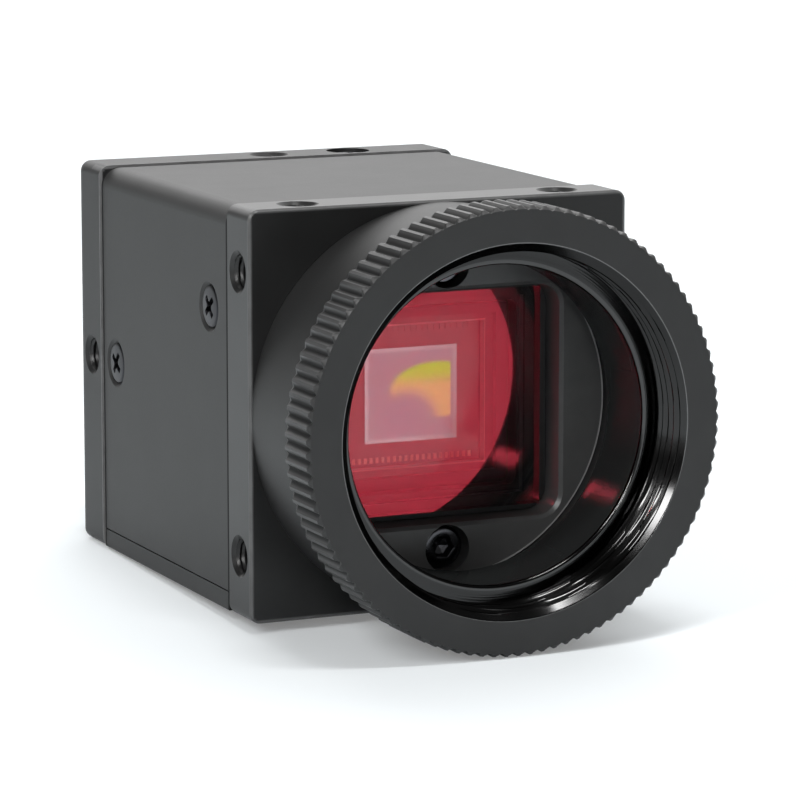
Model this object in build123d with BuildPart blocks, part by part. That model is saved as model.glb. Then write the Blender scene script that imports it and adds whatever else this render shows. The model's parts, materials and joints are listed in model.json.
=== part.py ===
"""A 29 mm machine vision camera with a screw lens mount, in millimetres.

Frame: the origin is the centre of the lens mount's front face. +Y runs into the camera, +Z is up, and +X is
to the right when the camera is seen from its front. Every section is drawn across the optical axis.
"""
from build123d import *
from math import cos, radians, sin, sqrt
import os

# Lens mount
focal_distance = 17.526
thread_radius = 12.3
thread_depth = 3.1
mouth_bevel = 0.65
ring_thickness = 4.7
ring_wall = 3.2
ring_groove_depth = 0.3
ring_teeth = 105
crest_share = 0.14
ring_land = 0.55
ring_front_chamfer = 0.25
shim_thickness = 0.3
shim_width = 1.9
neck_wall = 2.05
spigot_wall = 1.0
spigot_clearance = 0.2
spigot_gap = 2.8
spigot_chamfer = 0.3

# Body
body_wall = 2.2
front_plate = 4.2
plate_to_sensor = 0.826
cover_length = 25.1
rear_plate_thickness = 4.0
plate_edge_radius = 0.8
plate_front_bevel = 0.15
plate_back_bevel = 0.3
cover_inset = 0.15
cover_sheet = 1.0
cover_bend_radius = 1.4
cover_gap = 0.08
base_sheet = 1.3
base_gap = 0.1

# Fastening holes round the body
m3_tap_radius = 1.25
m3_mouth = 0.25
countersink_angle = 90
m3_depth = 3.0
front_hole_inset = 4.5
front_hole_back = 2.0
rear_hole_back = 2.0

# Cover screws and the lugs that take them
screw_head_radius = 1.5
screw_head_land = 0.25
countersink_rim = 0.3
screw_shank_radius = 0.8
screw_length = 3.6
screw_clearance = 0.1
cross_width = 0.45
cross_length = 1.8
cross_taper = 8
cross_depth = 0.6
lug_half = 2.4
lug_floor = 0.4
front_lug_inset = 7.7
rear_lug_inset = 14.5
front_screw_back = 3.6
rear_screw_ahead = 2.7

# Filter holder, filter and its gasket
web_thickness = 1.3
holder_floor = 0.6
holder_clearance = 0.1
pocket_width_share = 0.7155
pocket_height_share = 0.6748
pocket_radius = 1.6
pocket_depth = 2.2
pocket_bevel = 0.25
filter_margin_x = 0.55
filter_margin_z = 0.45
filter_thickness = 1.0
gasket_floor = 0.3
gasket_lip = 0.7
screw_to_pocket = 1.8
holder_head_radius = 1.5
holder_head_height = 1.4
holder_head_sink = 0.7
holder_head_chamfer = 0.2
holder_screw_short = 0.2
holder_counterbore = 1.7
key_socket_width = 1.3
key_socket_depth = 0.7

# Image sensor
die_width = 7.2
die_height = 6.8
die_thickness = 0.4
cavity_margin_x = 1.9
cavity_margin_z = 1.7
glass_margin_x = 0.7
glass_margin_z = 0.6
glass_thickness = 0.5
package_rim_x = 0.8
package_rim_z = 0.7
package_depth = 2.4
package_ahead = 1.1
package_clearance = 0.3
package_corner = 0.6
pad_count = 22
pad_margin = 0.5
pad_width = 0.22
pad_length = 0.4
pad_thickness = 0.08

# Boards
board_thickness = 1.2
board_gap = 1.05
lug_notch = 0.3
interface_gap = 1.27
front_spacer_share = 0.42
spacer_radius = 1.6
spacer_inset = 1.5
stud_length = 2.8
stud_radius = 0.7
board_hole_radius = 1.0
board_screw_head = 1.1
chip_width = 13.0
chip_thickness = 1.3
chip_chamfer = 0.2
thermal_inset = 1.0
thermal_height = 0.5
spreader_sheet = 0.8
spreader_gap = 1.2
spreader_flange = 6.0
memory_width = 7.5
memory_length = 11.0
memory_thickness = 1.0
memory_reach = 6.2
usb_chip_width = 8.0
link_width = 3.4
link_length = 14.0
link_step = 1.0
link_gap = 0.7
link_to_lug = 0.45

# Rear end
plinth_margin = 0.9
plinth_gap = 1.1
plinth_foot = 2.5
plinth_height = 1.65
plinth_bevel = 0.2
plinth_corner = 0.6
web_cutter = 4.0
usb_to_lug = 1.75
post_width = 5.2
post_depth = 6.2
post_height = 5.0
post_radius = 1.2
post_top_radius = 0.4
post_merge = 0.5
lock_tap_radius = 0.8
lock_tap_depth = 5.0
usb_narrow = 5.0
usb_wide = 7.0
usb_tall = 2.5
usb_slant = 0.9
usb_notch = 0.4
usb_sheet = 0.25
usb_proud = 0.25
usb_clearance = 0.15
usb_base = 0.8
usb_inner_gap = 0.05
usb_recess = 1.0
tongue_rise = 0.15
tongue_thickness = 0.7
wide_tongue_margin = 1.2
narrow_tongue_margin = 0.9
contact_thickness = 0.1
contact_width = 0.3
contact_inset = 0.3
contact_count = 5
socket_inset = 7.9
socket_drop = 7.4
boss_rim = 0.25
boss_height = 1.0
barrel_radius = 4.45
barrel_step = 0.2
barrel_wall = 0.5
barrel_length = 4.55
barrel_clearance = 0.1
barrel_inner_end = 0.6
flange_width = 1.8
flange_thickness = 0.35
nut_width = 1.15
nut_thickness = 1.4
pin_count = 6
pin_reach = 2.1
pin_radius = 0.35
pin_clearance = 0.05
pin_drop = 1.4
insulator_drop = 4.6
key_width = 1.2
key_height = 0.5
key_root = 0.1
key_drop = 0.6
clamp_head_radius = 1.5
clamp_head_height = 1.0
clamp_head_chamfer = 0.15
clamp_sink = 0.2
clamp_counterbore = 1.65
light_inset = 6.0
light_drop = 7.2
light_radius = 1.1
light_clearance = 0.1
led_size = 1.6
led_thickness = 0.8
led_gap = 0.1

# Sizes across the optical axis
mouth_radius = thread_radius + mouth_bevel
ring_crest_radius = thread_radius + ring_wall
ring_root_radius = ring_crest_radius - ring_groove_depth
neck_radius = thread_radius + neck_wall
spigot_radius = thread_radius - spigot_clearance
spigot_bore_radius = spigot_radius - spigot_wall
half = thread_radius + body_wall
body_width = 2 * half
cover_half = half - cover_inset
inner_half = cover_half - cover_sheet
base_top = -cover_half + base_sheet
screw_hole_radius = screw_shank_radius + screw_clearance
countersink_radius = screw_head_radius + countersink_rim
lug_depth = screw_length - cover_sheet + lug_floor
lug_top = base_top + lug_depth
front_lug_height = half - front_lug_inset
rear_lug_height = half - rear_lug_inset
front_hole_reach = half - front_hole_inset
pocket_width = 2 * thread_radius * pocket_width_share
pocket_height = 2 * thread_radius * pocket_height_share
holder_screw_radius = pocket_height / 2 + screw_to_pocket
filter_width = pocket_width - 2 * filter_margin_x
filter_height = pocket_height - 2 * filter_margin_z
cavity_width = die_width + 2 * cavity_margin_x
cavity_height = die_height + 2 * cavity_margin_z
glass_width = cavity_width + 2 * glass_margin_x
glass_height = cavity_height + 2 * glass_margin_z
package_width = glass_width + 2 * package_rim_x
package_height = glass_height + 2 * package_rim_z
board_width = 2 * (inner_half - board_gap)
spacer_reach = board_width / 2 - spacer_inset
spreader_width = 2 * (spacer_reach - spacer_radius - spreader_gap)
sensor_link_z = lug_top + link_to_lug + link_width / 2
chip_z = sensor_link_z + link_width / 2 + link_gap + chip_width / 2
flange_radius = barrel_radius + flange_width
boss_radius = flange_radius + boss_rim
nut_radius = barrel_radius + nut_width
barrel_stem_radius = barrel_radius - barrel_step
barrel_bore_radius = barrel_radius - barrel_wall
socket_x = half - socket_inset
socket_z = half - socket_drop
socket_centre = (socket_x, socket_z)
plinth_top = socket_z - boss_radius - plinth_gap
plinth_bottom = plinth_foot - half
plinth_width = usb_wide + usb_narrow + 2 * plinth_margin
cutter_z = plinth_top + web_cutter
cutter_x = socket_x - sqrt((boss_radius + web_cutter) ** 2 - (socket_z - cutter_z) ** 2)
usb_height = lug_top + usb_to_lug + usb_sheet + usb_tall / 2
post_reach = (plinth_width + post_width) / 2 - post_merge
light_x = light_inset - half
light_z = half - light_drop

# Places along the optical axis
shim_front = ring_thickness
neck_front = shim_front + shim_thickness
plate_back = focal_distance - plate_to_sensor
plate_front = plate_back - front_plate
rear_front = plate_back + cover_length
rear_back = rear_front + rear_plate_thickness
web_front = plate_back - web_thickness
floor_y = web_front - holder_floor - gasket_floor - filter_thickness - pocket_depth
spigot_back = floor_y - spigot_gap
filter_front = floor_y + pocket_depth
filter_back = filter_front + filter_thickness
gasket_back = filter_back + gasket_floor
package_front = focal_distance - package_ahead
package_back = package_front + package_depth
cavity_floor = focal_distance + die_thickness
front_screw_y = plate_back + front_screw_back
rear_screw_y = rear_front - rear_screw_ahead
front_hole_y = plate_front + front_hole_back
rear_hole_y = rear_front + rear_hole_back
sensor_board_back = package_back + board_thickness
interface_back = rear_screw_y - lug_half - interface_gap
interface_front = interface_back - board_thickness
stack_gap = interface_front - sensor_board_back - board_thickness
front_spacer_length = front_spacer_share * stack_gap
main_board_front = sensor_board_back + front_spacer_length
main_board_back = main_board_front + board_thickness
rear_spacer_length = interface_front - main_board_back
boss_back = rear_back + boss_height
flange_back = boss_back + flange_thickness
barrel_back = flange_back + barrel_length
plinth_back = rear_back + plinth_height
spacer_places = [(x, z) for x in (-spacer_reach, spacer_reach) for z in (-spacer_reach, spacer_reach)]
holder_screw_places = [(0, holder_screw_radius), (0, -holder_screw_radius)]
four_sides = [Location((0, 0, 0), (0, turn, 0)) for turn in (0, 90, 180, 270)]

os.makedirs("parts", exist_ok=True)


def section(y):
    """The plane across the optical axis at y, with local x = X and local y = Z; its normal is -Y."""
    return Plane.XZ.offset(-y)


def save(piece, name):
    """Label a finished piece and write it under its own name."""
    piece.part.label = name
    export_step(piece.part, "parts/" + name + ".step")


def slab(y_front, y_back, mode=Mode.ADD, profile=None):
    """Extrude a profile on section(y_back) forward to y_front, or else the sketch just drawn."""
    extrude(profile, amount=y_back - y_front, mode=mode)


def ring(y_front, y_back, outer, inner, x=0.0, z=0.0):
    """A plain tube about an axis along Y."""
    with BuildSketch(section(y_back)) as profile:
        with Locations((x, z)):
            Circle(outer)
            Circle(inner, mode=Mode.SUBTRACT)
    slab(y_front, y_back, profile=profile.sketch)


def tapped_holes(y, places):
    """Blind M3 holes with countersunk mouths, at the given places along each side of the body."""
    with Locations(*[side * Location((place, y, half)) for side in four_sides for place in places]):
        CounterSinkHole(m3_tap_radius, m3_tap_radius + m3_mouth, m3_depth, countersink_angle)


def countersunk_screw():
    """A small cross-head screw: its head is flush with the local XY plane, with a land and a cone."""
    with BuildPart(mode=Mode.PRIVATE) as screw:
        with BuildSketch(Plane.XZ):
            with BuildLine():
                Polyline(
                    (0, 0),
                    (screw_head_radius, 0),
                    (screw_head_radius, -screw_head_land),
                    (screw_shank_radius, screw_shank_radius - screw_head_radius - screw_head_land),
                    (screw_shank_radius, -screw_length),
                    (0, -screw_length),
                    close=True,
                )
            make_face()
        revolve(axis=Axis.Z)
        with BuildSketch():
            Rectangle(cross_length, cross_width)
            Rectangle(cross_width, cross_length)
        extrude(amount=-cross_depth, taper=cross_taper, mode=Mode.SUBTRACT)
    return screw.part


# Where the cover and base screws sit: two on each side of the cover and two under the base
cover_screw_places = []
for side_x, turn in ((inner_half + cover_sheet, 90), (-inner_half - cover_sheet, -90)):
    cover_screw_places.append(Location((side_x, front_screw_y, front_lug_height), (0, turn, 0)))
    cover_screw_places.append(Location((side_x, rear_screw_y, rear_lug_height), (0, turn, 0)))
base_screw_places = [Location((0, y, -cover_half), (180, 0, 0)) for y in (front_screw_y, rear_screw_y)]


def lug(y_front, y_back, x, z, reach_x, reach_z):
    """A block that carries a screw, drawn across the optical axis."""
    with BuildSketch(section(y_back)) as profile:
        with Locations((x, z)):
            Rectangle(reach_x, reach_z)
    slab(y_front, y_back, profile=profile.sketch)


# Front housing: the square front plate, the neck and the lugs, machined from one block
with BuildPart() as front_housing:
    with BuildSketch(section(plate_back)):
        RectangleRounded(body_width, body_width, plate_edge_radius)
    slab(plate_front, plate_back)
    back_rim = front_housing.faces().sort_by(Axis.Y)[-1].edges()
    chamfer(back_rim, plate_back_bevel)
    front_rim = front_housing.faces().sort_by(Axis.Y)[0].edges()
    chamfer(front_rim, plate_front_bevel)
    with BuildSketch(section(plate_front)):
        Circle(neck_radius)
    slab(neck_front, plate_front)
    with BuildSketch(section(web_front)):
        Circle(thread_radius)
    slab(neck_front, web_front, Mode.SUBTRACT)
    lug_centre = inner_half - lug_depth / 2
    lug_back = front_screw_y + lug_half
    for side in (-1, 1):
        lug(plate_back, lug_back, side * lug_centre, front_lug_height, lug_depth, 2 * lug_half)
    lug(plate_back, lug_back, 0, base_top + lug_depth / 2, 2 * lug_half, lug_depth)
    with BuildSketch(section(package_back)):
        with Locations(*spacer_places):
            Circle(spacer_radius)
    slab(plate_back, package_back)
    with BuildSketch(section(package_back)):
        opening_width = package_width + 2 * package_clearance
        opening_height = package_height + 2 * package_clearance
        RectangleRounded(opening_width, opening_height, package_corner)
    slab(web_front, package_back, Mode.SUBTRACT)
    with BuildSketch(section(package_back)):
        with Locations(*spacer_places):
            Circle(stud_radius + screw_clearance)
    slab(package_back - stud_length + board_thickness, package_back, Mode.SUBTRACT)
    with BuildSketch(section(plate_back)):
        with Locations(*holder_screw_places):
            Circle(screw_hole_radius)
    slab(web_front, plate_back, Mode.SUBTRACT)
    tapped_holes(front_hole_y, (-front_hole_reach, front_hole_reach))
    with Locations(*[place for place in cover_screw_places + base_screw_places if place.position.Y < lug_back]):
        Hole(screw_hole_radius, screw_length + screw_clearance)
save(front_housing, "front_housing")

# Adapter ring: a straight knurl outside, the lens thread's bore inside, and a spigot for the neck
with BuildPart() as adapter_ring:
    with BuildSketch(section(ring_thickness - ring_land)) as knurl:
        with BuildLine():
            corners = []
            for tooth in range(ring_teeth):
                for share, radius in (
                    (-crest_share, ring_crest_radius),
                    (crest_share, ring_crest_radius),
                    (0.5, ring_root_radius),
                ):
                    angle = radians(360 * (tooth + share) / ring_teeth)
                    corners.append((radius * cos(angle), radius * sin(angle)))
            Polyline(*corners, close=True)
        make_face()
    slab(0, ring_thickness - ring_land)
    with BuildSketch(section(ring_thickness)):
        Circle(ring_root_radius)
    slab(ring_thickness - ring_land, ring_thickness)
    with BuildSketch(Plane.XY):
        with BuildLine():
            Polyline(
                (0, 0),
                (ring_crest_radius - ring_front_chamfer, 0),
                (ring_crest_radius, ring_front_chamfer),
                (ring_crest_radius, ring_thickness - ring_land - ring_groove_depth),
                (ring_root_radius, ring_thickness - ring_land),
                (ring_root_radius - ring_land, ring_thickness),
                (0, ring_thickness),
                close=True,
            )
        make_face()
    revolve(axis=Axis.Y, mode=Mode.INTERSECT)
    with BuildSketch(Plane.XY):
        with BuildLine():
            Polyline(
                (0, ring_thickness),
                (spigot_radius, ring_thickness),
                (spigot_radius, spigot_back - spigot_chamfer),
                (spigot_radius - spigot_chamfer, spigot_back),
                (0, spigot_back),
                close=True,
            )
        make_face()
    revolve(axis=Axis.Y)
    with BuildSketch(Plane.XY):
        with BuildLine():
            Polyline(
                (0, 0),
                (mouth_radius, 0),
                (thread_radius, mouth_radius - thread_radius),
                (thread_radius, thread_depth),
                (spigot_bore_radius, thread_depth),
                (spigot_bore_radius, spigot_back),
                (0, spigot_back),
                close=True,
            )
        make_face()
    revolve(axis=Axis.Y, mode=Mode.SUBTRACT)
save(adapter_ring, "adapter_ring")

# Spacer shim between the ring and the neck; it sets the focal distance
with BuildPart() as spacer_shim:
    ring(shim_front, neck_front, thread_radius + shim_width, thread_radius)
save(spacer_shim, "spacer_shim")

# Filter holder: the floor of the mount, with a rounded pocket down to the filter
with BuildPart() as filter_holder:
    with BuildSketch(section(web_front)):
        Circle(thread_radius - holder_clearance)
    slab(floor_y, web_front)
    with BuildSketch(section(gasket_back)):
        RectangleRounded(pocket_width, pocket_height, pocket_radius)
    slab(floor_y, gasket_back, Mode.SUBTRACT)
    pocket_rim = filter_holder.faces().sort_by(Axis.Y)[0].inner_wires()[0].edges()
    chamfer(pocket_rim, pocket_bevel)
    with BuildSketch(section(web_front)):
        Rectangle(filter_width - 2 * gasket_lip, filter_height - 2 * gasket_lip)
    slab(floor_y, web_front, Mode.SUBTRACT)
    counterbore_depth = holder_head_sink + holder_head_height
    with Locations(*[Location((x, floor_y, z), (90, 0, 0)) for x, z in holder_screw_places]):
        CounterBoreHole(screw_hole_radius, holder_counterbore, counterbore_depth)
save(filter_holder, "filter_holder")

# Two socket screws that hold the filter holder on the web
with BuildPart() as holder_screws:
    head_front = floor_y + holder_head_sink
    head_back = head_front + holder_head_height
    with BuildSketch(section(head_back)):
        with Locations(*holder_screw_places):
            Circle(holder_head_radius)
    slab(head_front, head_back)
    shank_end = plate_back - holder_screw_short
    with BuildSketch(section(shank_end)):
        with Locations(*holder_screw_places):
            Circle(screw_shank_radius)
    slab(head_back, shank_end)
    chamfer(holder_screws.faces().filter_by(Axis.Y).group_by(Axis.Y)[0].edges(), holder_head_chamfer)
    with BuildSketch(section(head_front + key_socket_depth)):
        with Locations(*holder_screw_places):
            RegularPolygon(key_socket_width / 2, 6, major_radius=False)
    slab(head_front, head_front + key_socket_depth, Mode.SUBTRACT)
save(holder_screws, "holder_screws")

# Gasket round the filter: it fills the pocket's rim and carries the glass on an inner lip
with BuildPart() as filter_gasket:
    with BuildSketch(section(gasket_back)):
        RectangleRounded(pocket_width - 2 * holder_clearance, pocket_height - 2 * holder_clearance, pocket_radius)
        Rectangle(filter_width - 2 * gasket_lip, filter_height - 2 * gasket_lip, mode=Mode.SUBTRACT)
    slab(filter_front, gasket_back)
    with BuildSketch(section(filter_back)):
        Rectangle(filter_width, filter_height)
    slab(filter_front, filter_back, Mode.SUBTRACT)
save(filter_gasket, "filter_gasket")

# Infrared cut filter
with BuildPart() as ir_cut_filter:
    with BuildSketch(section(filter_back)):
        Rectangle(filter_width, filter_height)
    slab(filter_front, filter_back)
save(ir_cut_filter, "ir_cut_filter")

# Image sensor: a ceramic package with a stepped cavity, closed by its own glass
with BuildPart() as sensor_package:
    with BuildSketch(section(package_back)):
        Rectangle(package_width, package_height)
    slab(package_front, package_back)
    with BuildSketch(section(cavity_floor)):
        Rectangle(cavity_width, cavity_height)
    slab(package_front, cavity_floor, Mode.SUBTRACT)
    with BuildSketch(section(package_front + glass_thickness)):
        Rectangle(glass_width, glass_height)
    slab(package_front, package_front + glass_thickness, Mode.SUBTRACT)
save(sensor_package, "sensor_package")

with BuildPart() as sensor_cover_glass:
    with BuildSketch(section(package_front + glass_thickness)):
        Rectangle(glass_width, glass_height)
    slab(package_front, package_front + glass_thickness)
save(sensor_cover_glass, "sensor_cover_glass")

with BuildPart() as sensor_die:
    with BuildSketch(section(cavity_floor)):
        Rectangle(die_width, die_height)
    slab(focal_distance, cavity_floor)
save(sensor_die, "sensor_die")

with BuildPart() as sensor_pads:
    pad_pitch = (cavity_width - 2 * pad_margin) / pad_count
    pad_row = cavity_height / 2 - pad_length
    with BuildSketch(section(cavity_floor)):
        for row in (-pad_row, pad_row):
            with Locations((0, row)):
                with GridLocations(pad_pitch, 1, pad_count, 1):
                    Rectangle(pad_width, pad_length)
    slab(cavity_floor - pad_thickness, cavity_floor)
save(sensor_pads, "sensor_pads")


def board(y_front):
    """A square circuit board with a clearance hole over each spacer."""
    with BuildSketch(section(y_front + board_thickness)) as profile:
        RectangleRounded(board_width, board_width, plate_edge_radius)
        with Locations(*spacer_places):
            Circle(board_hole_radius, mode=Mode.SUBTRACT)
    slab(y_front, y_front + board_thickness, profile=profile.sketch)


# The sensor board is notched round the front housing's lugs
with BuildPart() as sensor_board:
    board(package_back)
    notch_width = 2 * (lug_half + lug_notch)
    notch_depth = 2 * (lug_depth + lug_notch)
    with BuildSketch(section(sensor_board_back)):
        with Locations((-inner_half, front_lug_height), (inner_half, front_lug_height)):
            Rectangle(notch_depth, notch_width)
        with Locations((0, base_top)):
            Rectangle(notch_width, notch_depth)
    slab(package_back, sensor_board_back, Mode.SUBTRACT)
save(sensor_board, "sensor_board")

with BuildPart() as main_board:
    board(main_board_front)
save(main_board, "main_board")

with BuildPart() as interface_board:
    board(interface_front)
save(interface_board, "interface_board")


def spacers(y_front, length, bore):
    """Four hexagonal spacers with a stud towards the front and a threaded end towards the back."""
    with BuildSketch(section(y_front + length)) as barrel:
        with Locations(*spacer_places):
            RegularPolygon(spacer_radius, 6)
    slab(y_front, y_front + length, profile=barrel.sketch)
    with BuildSketch(section(y_front)) as stud:
        with Locations(*spacer_places):
            Circle(stud_radius)
    slab(y_front - stud_length, y_front, profile=stud.sketch)
    with BuildSketch(section(y_front + length)) as thread:
        with Locations(*spacer_places):
            Circle(stud_radius + screw_clearance)
    slab(y_front + length - bore, y_front + length, Mode.SUBTRACT, thread.sketch)


with BuildPart() as front_spacers:
    spacers(sensor_board_back, front_spacer_length, stud_length)
save(front_spacers, "front_spacers")

with BuildPart() as rear_spacers:
    spacers(main_board_back, rear_spacer_length, stud_length)
save(rear_spacers, "rear_spacers")

with BuildPart() as board_screws:
    with BuildSketch(section(interface_back + board_screw_head)):
        with Locations(*spacer_places):
            Circle(holder_head_radius)
    slab(interface_back, interface_back + board_screw_head)
    with BuildSketch(section(interface_back)):
        with Locations(*spacer_places):
            Circle(stud_radius)
    slab(interface_back - stud_length, interface_back)
save(board_screws, "board_screws")

# Chips on the boards, and the sheet that leads the processor's heat to the cover
with BuildPart() as main_chip:
    with BuildSketch(section(main_board_front)):
        with Locations((0, chip_z)):
            Rectangle(chip_width, chip_width)
    slab(main_board_front - chip_thickness, main_board_front)
    chamfer(main_chip.faces().sort_by(Axis.Y)[0].edges(), chip_chamfer)
save(main_chip, "main_chip")

with BuildPart() as thermal_pad:
    pad_back = main_board_front - chip_thickness
    with BuildSketch(section(pad_back)):
        with Locations((0, chip_z)):
            Rectangle(chip_width - 2 * thermal_inset, chip_width - 2 * thermal_inset)
    slab(pad_back - thermal_height, pad_back)
save(thermal_pad, "thermal_pad")

with BuildPart() as heat_spreader:
    spreader_back = pad_back - thermal_height
    spreader_front = spreader_back - spreader_sheet
    spreader_bottom = chip_z - chip_width / 2
    with BuildSketch(section(spreader_back)):
        with Locations((0, (inner_half + spreader_bottom) / 2)):
            Rectangle(spreader_width, inner_half - spreader_bottom)
    slab(spreader_front, spreader_back)
    with BuildSketch(section(spreader_back + spreader_flange)):
        with Locations((0, inner_half - spreader_sheet / 2)):
            Rectangle(spreader_width, spreader_sheet)
    slab(spreader_back, spreader_back + spreader_flange)
save(heat_spreader, "heat_spreader")

with BuildPart() as memory_chips:
    with BuildSketch(section(main_board_back + memory_thickness)):
        with Locations((-memory_reach, 0), (memory_reach, 0)):
            Rectangle(memory_width, memory_length)
    slab(main_board_back, main_board_back + memory_thickness)
save(memory_chips, "memory_chips")

with BuildPart() as usb_chip:
    with BuildSketch(section(interface_front)):
        Rectangle(usb_chip_width, usb_chip_width)
    slab(interface_front - memory_thickness, interface_front)
save(usb_chip, "usb_chip")


def board_link(y_front, y_back, z):
    """Two mating halves of a board-to-board connector; the upper half is slimmer."""
    middle = (y_front + y_back) / 2
    with BuildSketch(section(middle)) as lower:
        with Locations((0, z)):
            Rectangle(link_length, link_width)
    slab(y_front, middle, profile=lower.sketch)
    with BuildSketch(section(y_back)) as upper:
        with Locations((0, z)):
            Rectangle(link_length - link_step, link_width - link_step)
    slab(middle, y_back, profile=upper.sketch)


with BuildPart() as sensor_link:
    board_link(sensor_board_back, main_board_front, sensor_link_z)
save(sensor_link, "sensor_link")

with BuildPart() as interface_link:
    board_link(main_board_back, interface_front, board_width / 2 - link_width / 2)
save(interface_link, "interface_link")

# Cover: one sheet folded over the top and both sides
with BuildPart() as cover:
    cover_front = plate_back + cover_gap
    cover_back = rear_front - cover_gap
    cover_bottom = base_top + base_gap
    below = cover_bottom - 2 * cover_bend_radius
    with BuildSketch(section(cover_back)):
        with Locations((0, (cover_half + below) / 2)):
            RectangleRounded(2 * cover_half, cover_half - below, cover_bend_radius)
        with Locations((0, (inner_half + below) / 2)):
            inner_bend = cover_bend_radius - cover_sheet
            RectangleRounded(2 * inner_half, inner_half - below, inner_bend, mode=Mode.SUBTRACT)
        with Locations((0, below)):
            Rectangle(body_width, 2 * (cover_bottom - below), mode=Mode.SUBTRACT)
    slab(cover_front, cover_back)
    with Locations(*cover_screw_places):
        CounterSinkHole(screw_hole_radius, countersink_radius, cover_sheet, countersink_angle)
save(cover, "cover")

# Base plate under the body
with BuildPart() as base_plate:
    with BuildSketch(section(cover_back)):
        with Locations((0, base_top - base_sheet / 2)):
            Rectangle(2 * cover_half, base_sheet)
    slab(cover_front, cover_back)
    with Locations(*base_screw_places):
        CounterSinkHole(screw_hole_radius, countersink_radius, base_sheet, countersink_angle)
save(base_plate, "base_plate")

with BuildPart() as cover_screws:
    with Locations(*cover_screw_places):
        add(countersunk_screw())
save(cover_screws, "cover_screws")

with BuildPart() as base_screws:
    with Locations(*base_screw_places):
        add(countersunk_screw())
save(base_screws, "base_screws")


def usb_outline(y, grow):
    """The two-bay socket's outline on section(y), grown by a margin: a wide bay, a waist and a narrow bay."""
    left = -(usb_wide + usb_narrow) / 2
    waist = left + usb_wide
    right = -left
    low = usb_height - usb_tall / 2
    high = usb_height + usb_tall / 2
    with BuildSketch(section(y)) as outline:
        with BuildLine():
            Polyline(
                (left + usb_slant - grow / 2, low - grow),
                (waist - usb_notch + grow / 2, low - grow),
                (waist, low + usb_notch - grow),
                (waist + usb_notch - grow / 2, low - grow),
                (right + grow, low - grow),
                (right + grow, high + grow),
                (left - grow, high + grow),
                (left - grow, low + usb_slant - grow / 2),
                close=True,
            )
        make_face()
    return outline.sketch


# Rear plate: the socket plinth, two locking posts and the round socket's boss stand on its back, with a low
# web between boss and plinth whose edge is a round cutter's path
with BuildPart() as rear_plate:
    with BuildSketch(section(rear_back)):
        RectangleRounded(body_width, body_width, plate_edge_radius)
    slab(rear_front, rear_back)
    with BuildSketch(section(plinth_back)):
        with Locations((0, (plinth_top + plinth_bottom) / 2)):
            RectangleRounded(plinth_width, plinth_top - plinth_bottom, plinth_corner)
    slab(rear_back, plinth_back)
    chamfer(rear_plate.faces().sort_by(Axis.Y)[-1].edges(), plinth_bevel)
    with BuildSketch(section(boss_back)):
        with Locations(socket_centre):
            Circle(boss_radius)
        with BuildLine():
            Polyline(
                socket_centre,
                (cutter_x, cutter_z),
                (cutter_x, plinth_top),
                (plinth_width / 2 - plinth_corner, plinth_top),
                close=True,
            )
        make_face()
        with Locations((cutter_x, cutter_z)):
            Circle(web_cutter, mode=Mode.SUBTRACT)
    slab(rear_back, boss_back)
    with BuildSketch(section(rear_back + post_height)):
        with Locations((-post_reach, usb_height), (post_reach, usb_height)):
            RectangleRounded(post_width, post_depth, post_radius)
    slab(rear_back, rear_back + post_height)
    fillet(rear_plate.faces().filter_by(Axis.Y).sort_by(Axis.Y)[-2:].edges(), post_top_radius)
    lug_front = rear_screw_y - lug_half
    for side in (-1, 1):
        lug(lug_front, rear_front, side * lug_centre, rear_lug_height, lug_depth, 2 * lug_half)
    lug(lug_front, rear_front, 0, base_top + lug_depth / 2, 2 * lug_half, lug_depth)
    slab(rear_front, plinth_back, Mode.SUBTRACT, usb_outline(plinth_back, usb_sheet + usb_clearance))
    with BuildSketch(section(boss_back)):
        with Locations(socket_centre):
            Circle(barrel_stem_radius + barrel_clearance)
    slab(rear_front, boss_back, Mode.SUBTRACT)
    with BuildSketch(section(rear_back)):
        with Locations((light_x, light_z)):
            Circle(light_radius + light_clearance)
    slab(rear_front, rear_back, Mode.SUBTRACT)
    post_top = rear_back + post_height
    with Locations(*[Location((x, post_top, usb_height), (-90, 0, 0)) for x in (-post_reach, post_reach)]):
        Hole(lock_tap_radius, lock_tap_depth)
    tapped_holes(rear_hole_y, (0,))
    with Locations((socket_x, rear_hole_y, half)):
        CounterBoreHole(
            screw_hole_radius,
            clamp_counterbore,
            clamp_sink + clamp_head_height,
            half - socket_z,
        )
    with Locations(*[place for place in cover_screw_places + base_screw_places if place.position.Y > lug_front]):
        Hole(screw_hole_radius, screw_length + screw_clearance)
save(rear_plate, "rear_plate")

# Clamp screw on the top face: it locks the round socket's barrel in the rear plate
with BuildPart() as clamp_screw:
    head_top = half - clamp_sink
    barrel_side = socket_z + barrel_stem_radius
    with BuildSketch(Plane.XY.offset(head_top - clamp_head_height)):
        with Locations((socket_x, rear_hole_y)):
            Circle(clamp_head_radius)
    extrude(amount=clamp_head_height)
    chamfer(clamp_screw.faces().sort_by(Axis.Z)[-1].edges(), clamp_head_chamfer)
    with BuildSketch(Plane.XY.offset(barrel_side)):
        with Locations((socket_x, rear_hole_y)):
            Circle(screw_shank_radius)
    extrude(amount=head_top - clamp_head_height - barrel_side)
    with BuildSketch(Plane.XY.offset(head_top)):
        with Locations((socket_x, rear_hole_y)):
            Rectangle(cross_length, cross_width)
            Rectangle(cross_width, cross_length)
    extrude(amount=-cross_depth, taper=cross_taper, mode=Mode.SUBTRACT)
save(clamp_screw, "clamp_screw")

# Rear data socket: folded metal shell, moulded body with two tongues, and its contacts
with BuildPart() as usb_shell:
    usb_back = plinth_back + usb_proud
    slab(rear_front, usb_back, profile=usb_outline(usb_back, usb_sheet))
    slab(rear_front, usb_back, Mode.SUBTRACT, usb_outline(usb_back, 0))
save(usb_shell, "usb_shell")

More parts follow.
